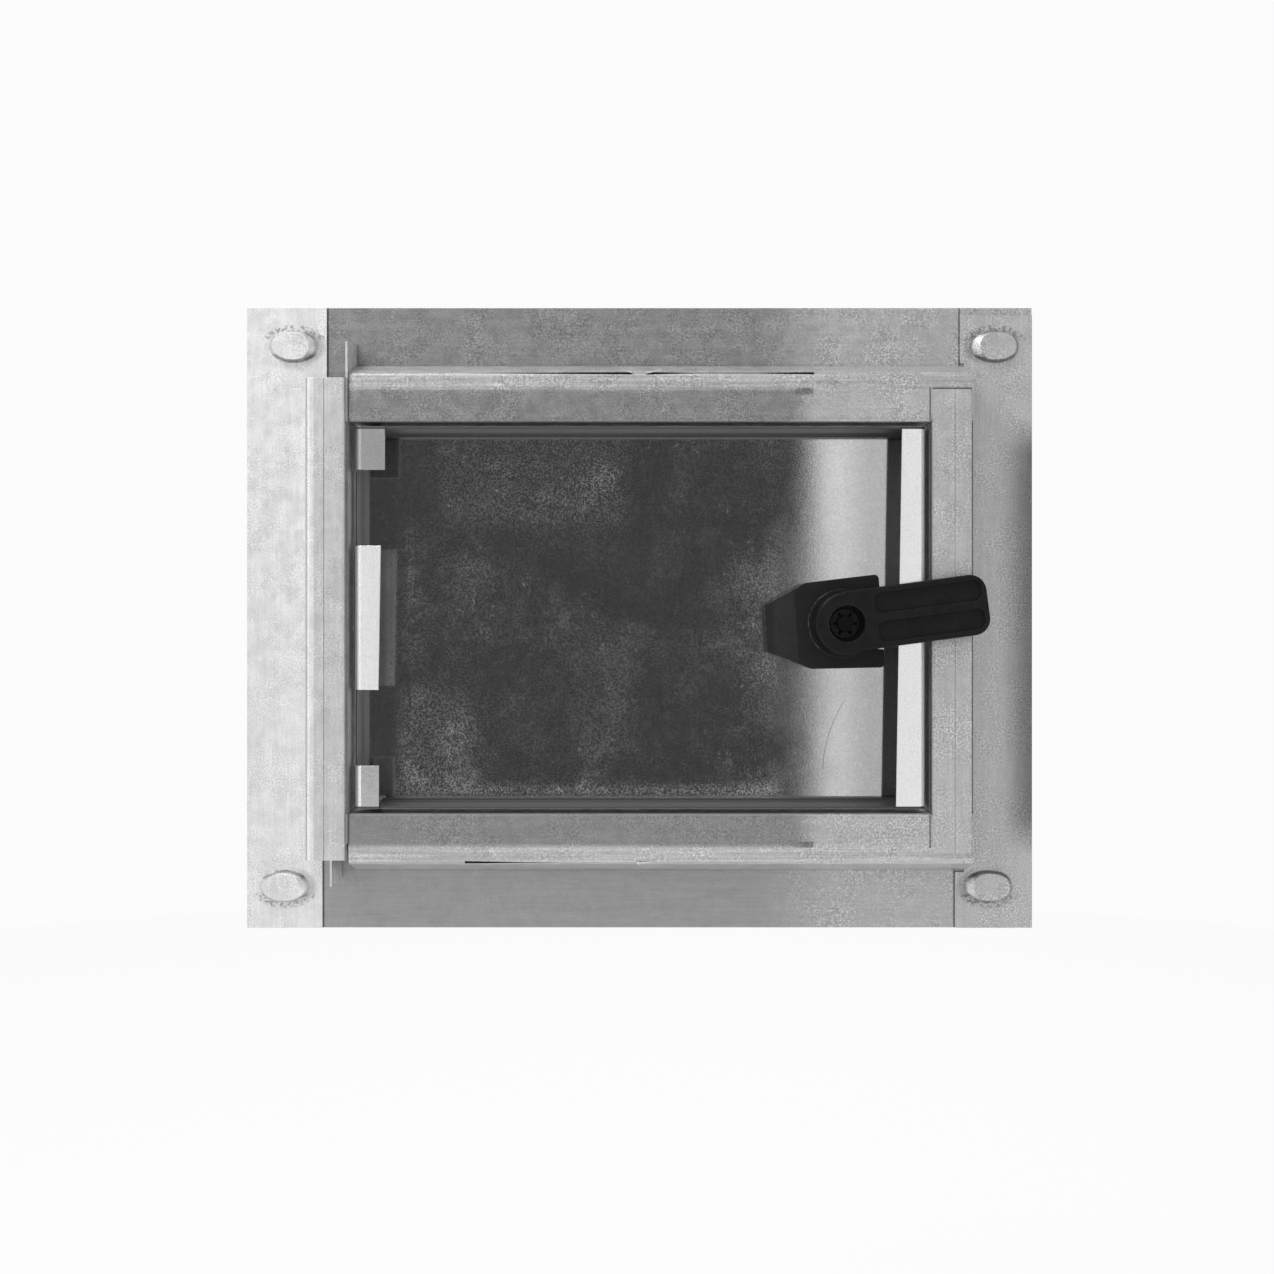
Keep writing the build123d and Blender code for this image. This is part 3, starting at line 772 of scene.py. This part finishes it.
def leaf_haze(w, x, z, zinc, broad):
    """Stains on the leaf's plate, strongest at two corners and along the lower edge."""
    left = w.ramp(x, 10 * MM, -50 * MM, 0.35, 0.55)
    low = w.ramp(z, -47 * MM, -57 * MM)
    high_corner = w.times(w.band(x, -60 * MM, -8 * MM, 14 * MM), w.ramp(z, 18 * MM, 34 * MM))
    low_corner = w.times(w.ramp(x, -42 * MM, -58 * MM), w.ramp(z, -8 * MM, -28 * MM))
    corner = w.times(w.most(high_corner, low_corner), 0.9)
    share = w.times(w.most(left, corner, low), w.band(x, -73 * MM, 40 * MM, 8 * MM))
    grain = w.times(w.scaled(zinc["Speckle"], 0.85, 0.15), share)
    patchy = w.times(grain, w.scaled(zinc["Patch"], 0.65, 0.35), w.scaled(broad["Cloud"], 0.5, 0.5))
    return w.most(patchy, w.times(low, 0.8, grain), w.times(corner, 0.62, grain))


def leaf_walls(w, x, y, height, lips, inner):
    """Masks of the faces inside the leaf's tray that its plate and lips shade, for painted shade."""
    return {
        "ends": w.times(
            w.band(height, 57.6 * MM, LEAF_HIGH.z - 0.1 * MM, 0.1 * MM), w.ramp(lips, 1.0, 0.0), inner,
            w.ramp(w.math("ABSOLUTE", x), 88.05 * MM, 87.85 * MM),
        ),
        "left": w.times(
            w.band(x, LEAF_LOW.x + 0.45 * MM, -86.3 * MM, 0.15 * MM),
            w.band(y, -12.9 * MM, 0.69 * MM, 0.15 * MM),
        ),
        "right": w.times(w.ramp(x, 86.0 * MM, 86.5 * MM), w.ramp(y, -13.1 * MM, -12.9 * MM)),
        "underside": w.times(lips, w.ramp(y, -14.1 * MM, -13.9 * MM)),
    }


def leaf_tone(w, x, z, lips, inner, right_lip):
    """Tone of the leaf: its lips, whose sections differ as painted light, its plate as seen from
    behind, darker towards the right, and its plain front.
    """
    lip = w.blend(w.ramp(z, *LIP_PART), 1.6, 0.88)
    lip = w.blend(w.ramp(z, -LIP_PART[0], -LIP_PART[1]), lip, 1.52)
    lip = w.blend(right_lip, lip, 1.6)
    right_part = w.ramp(z, -15 * MM, 15 * MM, 0.92, 1.03)
    plate = w.blend(w.ramp(x, 40 * MM, 52 * MM), 1.0, right_part)
    plate = w.times(plate, w.ramp(x, 62 * MM, 74 * MM, 0.98, 0.72))
    return w.blend(lips, w.blend(inner, 1.0, plate), lip)


class METERDOOR_OT_leaf(bpy.types.Operator):
    """Finish the door leaf: bright zinc with clouds, haze and scratches"""

    bl_idname = "meter_door.leaf"
    bl_label = "Door leaf"

    def execute(self, context):
        look = context.scene.door_finish
        material, w, shader = new_material("Zinc, door leaf")
        place, (x, y, z) = sheet_coordinates(w)
        height = w.math("ABSOLUTE", z)
        upright = (1.0, 1.0, 0.06)
        zinc = w.group(effect(zinc_bloom_group), vector=place, size=7.0 * MM, speck=look.speck_size)
        broad = w.group(effect(zinc_bloom_group), vector=place, size=28.0 * MM)
        rolled = w.group(effect(rolling_grain_group), vector=place, stretch=upright, size=look.grain_size)
        worn = w.group(effect(edge_wear_group), radius=look.edge_radius)
        curls = w.group(effect(curly_scratch_group), vector=place, size=9.0 * MM, share=0.46)
        squiggle = w.group(
            effect(lone_scratch_group), vector=place, start=(-52.5 * MM, 0.0, 9.5 * MM),
            length=8.0 * MM, lean=0.1, wave=0.35 * MM,
        )
        score = w.group(
            effect(lone_scratch_group), vector=place, start=(65.5 * MM, 0.0, -26.2 * MM),
            length=22.3 * MM, lean=0.6226, bow=13.85,
        )

        inner = w.ramp(y, 1.1 * MM, 0.9 * MM)
        lips = w.times(
            w.ramp(y, -12.5 * MM, -13.2 * MM), w.ramp(w.math("ABSOLUTE", x), 76.5 * MM, 77.5 * MM),
            w.math("LESS_THAN", height, LEAF_HIGH.z - 0.8 * MM),
        )
        right_lip = w.math("GREATER_THAN", x, 0.0)
        walls = leaf_walls(w, x, y, height, lips, inner)
        recess = w.most(
            walls["ends"], walls["left"], w.times(walls["right"], inner), w.times(walls["underside"], 0.7),
        )
        left_edge = w.times(
            w.ramp(x, -88.1 * MM, -88.3 * MM), w.ramp(y, -0.5 * MM, -9.0 * MM),
            w.math("GREATER_THAN", x, LEAF_LOW.x + 0.02 * MM),
        )
        left_bend = w.times(w.ramp(x, -86.4 * MM, -87.2 * MM), lips)

        haze = leaf_haze(w, x, z, zinc, broad)
        dull = w.scaled(curls["Mask"], 0.08, w.times(haze, 0.2))
        dull = w.most(dull, w.times(recess, 0.85))
        w.feed(shader["Metallic"], w.math("SUBTRACT", 1.0, w.times(dull, inner)))
        rough = w.scaled(haze, 0.2, w.scaled(broad["Cloud"], 0.03, 0.05))
        rough = w.scaled(curls["Mask"], 0.08, rough)
        lip_rough = w.blend(right_lip, w.ramp(z, *LIP_PART, 0.24, 0.36), 0.17)
        w.feed(shader["Roughness"], w.blend(recess, w.blend(lips, rough, lip_rough), 0.5))

        # Painted shade darkens the tray's inner walls, the hinge side's wall edge and inner bend, and the
        # lips' undersides.
        tone = varied(w, leaf_tone(w, x, z, lips, inner, right_lip), [
            (zinc["Crystal"], 0.5, 0.05), (zinc["Speckle"], SPECKLE_MEAN, 0.16),
            (rolled["Line"], 0.5, 0.12), (worn["Mask"], 0.0, 0.05), (curls["Mask"], 0.0, 0.2),
            (w.times(score["Mask"], inner), 0.0, -0.4), (left_edge, 0.0, -0.6), (left_bend, 0.0, -0.4),
            (walls["ends"], 0.0, -0.87), (walls["left"], 0.0, -0.66),
            (walls["underside"], 0.0, -0.35), (walls["right"], 0.0, -0.35),
        ])
        squiggle_mask = w.times(squiggle["Mask"], inner)
        tone = w.scaled(squiggle_mask, 0.6, tone)
        w.feed(shader["Base Color"], w.shade(look.leaf, tone))

        bumps = w.scaled(zinc["Speckle"], 0.5, w.times(rolled["Line"], 0.3))
        bumps = w.scaled(zinc["Crystal"], 0.2, bumps)
        bumps = w.scaled(squiggle_mask, 1.5, bumps)
        tight = w.times(lips, w.ramp(y, -12.6 * MM, -13.2 * MM))
        normal = facing_back(w, worn["Normal"], w.times(tight, right_lip))
        strength = w.ramp(x, -45 * MM, 5 * MM, 0.4, 0.1)
        w.feed(shader["Normal"], relief(w, bumps, normal, 0.01 * MM, strength))
        coat("door_leaf", material)
        return {"FINISHED"}


def small_steel(name, colour):
    """Steel of the small turned and stamped pieces, and bare zinc of the slivers."""
    look = bpy.context.scene.door_finish
    material, w, shader = new_material(name, Metallic=1.0)
    place, _ = sheet_coordinates(w)
    worn = w.group(effect(edge_wear_group), radius=look.edge_radius)
    hairs = w.group(effect(scratch_group), vector=place, size=2.0 * MM, width=0.03 * MM, share=0.5)
    zinc = w.group(effect(zinc_bloom_group), vector=place, size=1.5 * MM)
    tone = w.scaled(worn["Mask"], 0.25, w.scaled(zinc["Cloud"], -0.15, 1.05))
    w.feed(shader["Base Color"], w.shade(colour, tone))
    w.feed(shader["Roughness"], w.scaled(hairs["Mask"], 0.2, 0.28))
    w.feed(shader["Normal"], relief(w, zinc["Speckle"], worn["Normal"], 0.01 * MM, 0.5))
    return material


def curled_strip(name, start, reach, curl, width, thickness):
    """Sliver of torn zinc that rides on the frame: a tapering strip on a curling line.

    It runs along X by its reach, towards -X where that is negative. curl is the angle in
    radians that it has turned by at its tip.
    """
    strip = bmesh.new()
    rings = []
    for step in range(SLIVER_STEPS + 1):
        share = step / SLIVER_STEPS
        angle = curl * share
        taper = 1.0 - 0.8 * share
        centre = Vector(start) + Vector((reach * share, 0.0, reach * math.sin(angle) * share * 0.5))
        across = Vector((-math.sin(angle), 0.4, math.cos(angle))).normalized() * width * taper / 2
        through = Vector((0.0, thickness / 2, 0.0))
        corners = (across + through, across - through, -across - through, -across + through)
        rings.append([strip.verts.new(centre + corner) for corner in corners])
    for low, high in zip(rings, rings[1:]):
        for side in range(4):
            after = (side + 1) % 4
            strip.faces.new((low[side], low[after], high[after], high[side]))
    strip.faces.new(reversed(rings[0]))
    strip.faces.new(rings[-1])
    bmesh.ops.recalc_face_normals(strip, faces=strip.faces)
    mesh = bpy.data.meshes.new(name)
    strip.to_mesh(mesh)
    strip.free()
    mesh.shade_smooth()
    piece = bpy.data.objects.new(name, mesh)
    bpy.context.scene.collection.objects.link(piece)
    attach(piece, "frame")
    return piece


class METERDOOR_OT_remnants(bpy.types.Operator):
    """Add the slivers of torn zinc at the bridges between the rails' slits"""

    bl_idname = "meter_door.remnants"
    bl_label = "Torn slivers"

    def execute(self, context):
        bright = small_steel("Torn zinc", context.scene.door_finish.torn_zinc)
        upper_z = SLIT_HEIGHT + 0.2 * MM
        curl_z = SLIT_HEIGHT + 0.3 * MM
        lower_z = -SLIT_HEIGHT - 0.2 * MM
        for name, x, z, reach, curl, width, thickness in (
            ("sliver_upper", 2.0 * MM, upper_z, 5.0 * MM, 0.5, 0.8 * MM, 0.2 * MM),
            ("sliver_upper_curl", -2.2 * MM, curl_z, -3.0 * MM, -0.6, 0.7 * MM, 0.2 * MM),
            ("sliver_lower", -0.8 * MM, lower_z, 5.6 * MM, 0.3, 0.9 * MM, 0.25 * MM),
        ):
            piece = curled_strip(name, (x, SLIVER_Y, z), reach, curl, width, thickness)
            piece.data.materials.append(bright)
        return {"FINISHED"}


class METERDOOR_OT_pins(bpy.types.Operator):
    """Finish the two hinge pins and the retaining ring"""

    bl_idname = "meter_door.pins"
    bl_label = "Pins and ring"

    def execute(self, context):
        look = context.scene.door_finish
        plated = small_steel("Plated steel", look.plated)
        coat("hinge_pin_upper", plated)
        coat("hinge_pin_lower", plated)
        coat("retaining_ring", small_steel("Blackened steel", look.blackened))
        return {"FINISHED"}


def moulded_plastic(name, roughness, lift=1.0, gloss=0.22):
    """Black moulded plastic with chipped edges, which painted highlight makes brighter towards the
    left, a painted highlight towards the housing's nose, and a rougher nose.
    """
    look = bpy.context.scene.door_finish
    material, w, shader = new_material(name, Metallic=0.0, Specular_IOR_Level=gloss)
    place, (x, y, _) = sheet_coordinates(w)
    chips_per_metre = 700.0
    skin = w.group(effect(moulded_skin_group), vector=place, size=0.25 * MM)
    worn = w.group(effect(edge_wear_group), radius=0.35 * MM)
    hairs = w.group(effect(scratch_group), vector=place, size=6.0 * MM, width=0.04 * MM, share=0.4)
    chipped = w.times(worn["Mask"], w.ramp(w.noise(place, chips_per_metre, detail=3.0), 0.42, 0.6))
    # Chipped edges are wear; their brightness rising towards the left is painted highlight.
    chip_wear_and_highlight = w.ramp(x, LOCK_X - 2 * MM, LOCK_X - 7 * MM, 2.0, 15.0)
    nose = w.ramp(x, LOCK_X - 20 * MM, LOCK_X - 22 * MM)
    # Painted highlight on the back of the housing towards its nose.
    nose_highlight = w.ramp(x, LOCK_X - 11 * MM, LOCK_X - 21 * MM, 1.0, 1.6)
    tone = w.scaled(skin["Flow"], 0.3, 0.85 * lift)
    tone = w.scaled(chipped, chip_wear_and_highlight, tone)
    tone = w.scaled(hairs["Mask"], 1.5, tone)
    tone = w.times(tone, w.blend(w.ramp(y, -1 * MM, -2 * MM), 1.0, nose_highlight))
    w.feed(shader["Base Color"], w.shade(look.plastic, w.vary(tone, nose, -0.1)))
    rough = w.scaled(skin["Flow"], 0.08, w.scaled(nose, 0.3, roughness))
    w.feed(shader["Roughness"], w.scaled(hairs["Mask"], 0.15, rough))
    w.feed(shader["Normal"], relief(w, skin["Height"], worn["Normal"], 0.03 * MM, 0.35))
    return material


class METERDOOR_OT_lock(bpy.types.Operator):
    """Finish the lock: bezel, housing and spindle"""

    bl_idname = "meter_door.lock"
    bl_label = "Lock"

    def execute(self, context):
        housing = moulded_plastic("Plastic, lock", 0.42)
        coat("lock_bezel", housing)
        coat("lock_housing", housing)
        coat("lock_spindle", moulded_plastic("Plastic, spindle", 0.6, gloss=0.12))
        return {"FINISHED"}


class METERDOOR_OT_latch(bpy.types.Operator):
    """Finish the latch arm"""

    bl_idname = "meter_door.latch"
    bl_label = "Latch arm"

    def execute(self, context):
        coat("latch_arm", moulded_plastic("Plastic, latch arm", 0.4, lift=0.7, gloss=0.18))
        return {"FINISHED"}


def mirrored_tone(w, stage, way):
    """What bright zinc mirrors: pale sides, dimmer to the right, and a dark flag at the lens."""
    x, y, z = way
    least_depth = 0.02
    towards_lens = w.most(w.times(y, -1.0), least_depth)
    slope_x = w.math("DIVIDE", x, towards_lens)
    slope_z = w.math("DIVIDE", z, towards_lens)
    flag = w.times(
        w.band(slope_x, stage.flag_left, stage.flag_right, 0.012),
        w.band(slope_z, -stage.flag_drop, stage.flag_height, 0.03), w.math("LESS_THAN", y, 0.0),
    )
    near_lens = w.times(w.ramp(slope_x, 0.14, 0.2, 1.02, 0.8), w.ramp(slope_x, 0.3, 0.8, 1.0, 0.5))
    beyond_door = w.ramp(x, -0.6, 0.9, 1.0, 0.45)
    side = w.blend(w.math("GREATER_THAN", y, 0.0), near_lens, beyond_door)
    return w.times(w.blend(flag, side, FLAG_TONE), stage.background)


def studio_world(stage):
    """Pale surroundings for the camera and dull surfaces, and others for what mirrors them."""
    world = bpy.data.worlds.new("Studio")
    world.use_nodes = True
    world.node_tree.nodes.clear()
    w = Wiring(world.node_tree)
    way = w.axes(w.add("ShaderNodeTexCoord").outputs["Generated"])
    path = w.add("ShaderNodeLightPath").outputs
    seen = w.blend(path["Is Glossy Ray"], stage.ambient, mirrored_tone(w, stage, way))
    clear = w.most(path["Is Camera Ray"], path["Is Transmission Ray"])
    strength = w.blend(clear, seen, stage.background)
    sky = w.add("ShaderNodeBackground", {"Color": (1.0, 1.0, 1.0, 1.0), "Strength": strength})
    w.add("ShaderNodeOutputWorld", {"Surface": sky.outputs[0]}).is_active_output = True
    bpy.context.scene.world = world


def soft_lamp(name, place, power):
    """Round area lamp that faces the door."""
    data = bpy.data.lights.new(name, "AREA")
    data.shape = "DISK"
    data.size = LAMP_SIZE
    data.energy = power
    lamp = bpy.data.objects.new(name, data)
    lamp.location = place
    lamp.rotation_euler = (-Vector(place)).to_track_quat("-Z", "Y").to_euler()
    bpy.context.scene.collection.objects.link(lamp)


def pale_floor(stage):
    """Round floor under the door that looks as pale as the background and keeps a faint shadow."""
    mesh = bpy.data.meshes.new("floor")
    disc = bmesh.new()
    bmesh.ops.create_circle(disc, cap_ends=True, segments=96, radius=FLOOR_RADIUS)
    disc.to_mesh(mesh)
    disc.free()
    floor = bpy.data.objects.new("floor", mesh)
    floor.location.z = -stage.floor_drop
    bpy.context.scene.collection.objects.link(floor)
    material = bpy.data.materials.new("Pale floor")
    material.use_nodes = True
    material.node_tree.nodes.clear()
    w = Wiring(material.node_tree)
    lit = w.add("ShaderNodeBsdfDiffuse", {"Color": (0.9, 0.9, 0.9, 1.0)}).outputs[0]
    glow = w.add("ShaderNodeEmission", {"Color": (1.0, 1.0, 1.0, 1.0), "Strength": 1.0}).outputs[0]
    path = w.add("ShaderNodeLightPath").outputs
    seen = w.most(path["Is Camera Ray"], path["Is Glossy Ray"], path["Is Transmission Ray"])
    mixed = w.add("ShaderNodeMixShader", {0: w.times(seen, FLOOR_GLOW), 1: lit, 2: glow})
    w.add("ShaderNodeOutputMaterial", {"Surface": mixed.outputs[0]})
    mesh.materials.append(material)


class METERDOOR_OT_stage(bpy.types.Operator):
    """Set the camera, the lamps, the pale surroundings and the floor"""

    bl_idname = "meter_door.stage"
    bl_label = "Stage"

    def execute(self, context):
        scene = context.scene
        stage = scene.door_stage
        data = bpy.data.cameras.new("camera")
        data.sensor_width = 36.0
        data.lens = data.sensor_width * stage.camera_distance / (stage.pixel * PHOTO_SIDE)
        data.shift_x = (PHOTO_SIDE / 2 - PHOTO_ORIGIN[0]) / PHOTO_SIDE
        data.shift_y = (PHOTO_ORIGIN[1] - PHOTO_SIDE / 2) / PHOTO_SIDE
        camera = bpy.data.objects.new("camera", data)
        camera.location = (0.0, -stage.camera_distance, 0.0)
        camera.rotation_euler = (math.radians(90), 0.0, 0.0)
        scene.collection.objects.link(camera)
        scene.camera = camera
        scene.view_settings.view_transform = "Standard"
        studio_world(stage)
        soft_lamp("key lamp", KEY_PLACE, stage.key_power)
        soft_lamp("fill lamp", FILL_PLACE, stage.fill_power)
        pale_floor(stage)
        return {"FINISHED"}


class METERDOOR_PT_panel(bpy.types.Panel):
    """Steps that dress the door"""

    bl_idname = "METERDOOR_PT_panel"
    bl_label = "Meter Box Door"
    bl_space_type = "VIEW_3D"
    bl_region_type = "UI"
    bl_category = "Meter Door"

    def draw(self, context):
        for operator in OPERATORS:
            self.layout.operator(operator.bl_idname)
        for settings in (context.scene.door_finish, context.scene.door_stage):
            for name in settings.__annotations__:
                self.layout.prop(settings, name)


OPERATORS = (
    METERDOOR_OT_stage, METERDOOR_OT_stiles, METERDOOR_OT_rails, METERDOOR_OT_leaf,
    METERDOOR_OT_remnants, METERDOOR_OT_pins, METERDOOR_OT_lock, METERDOOR_OT_latch,
)
CLASSES = (FinishSettings, StageSettings, *OPERATORS, METERDOOR_PT_panel)


def register():
    for cls in CLASSES:
        bpy.utils.register_class(cls)
    bpy.types.Scene.door_finish = PointerProperty(type=FinishSettings)
    bpy.types.Scene.door_stage = PointerProperty(type=StageSettings)


def unregister():
    del bpy.types.Scene.door_stage
    del bpy.types.Scene.door_finish
    for cls in reversed(CLASSES):
        bpy.utils.unregister_class(cls)


def main():
    """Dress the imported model."""
    register()
    for operator in OPERATORS:
        family, step = operator.bl_idname.split(".")
        getattr(getattr(bpy.ops, family), step)()


if __name__ == "__main__":
    main()
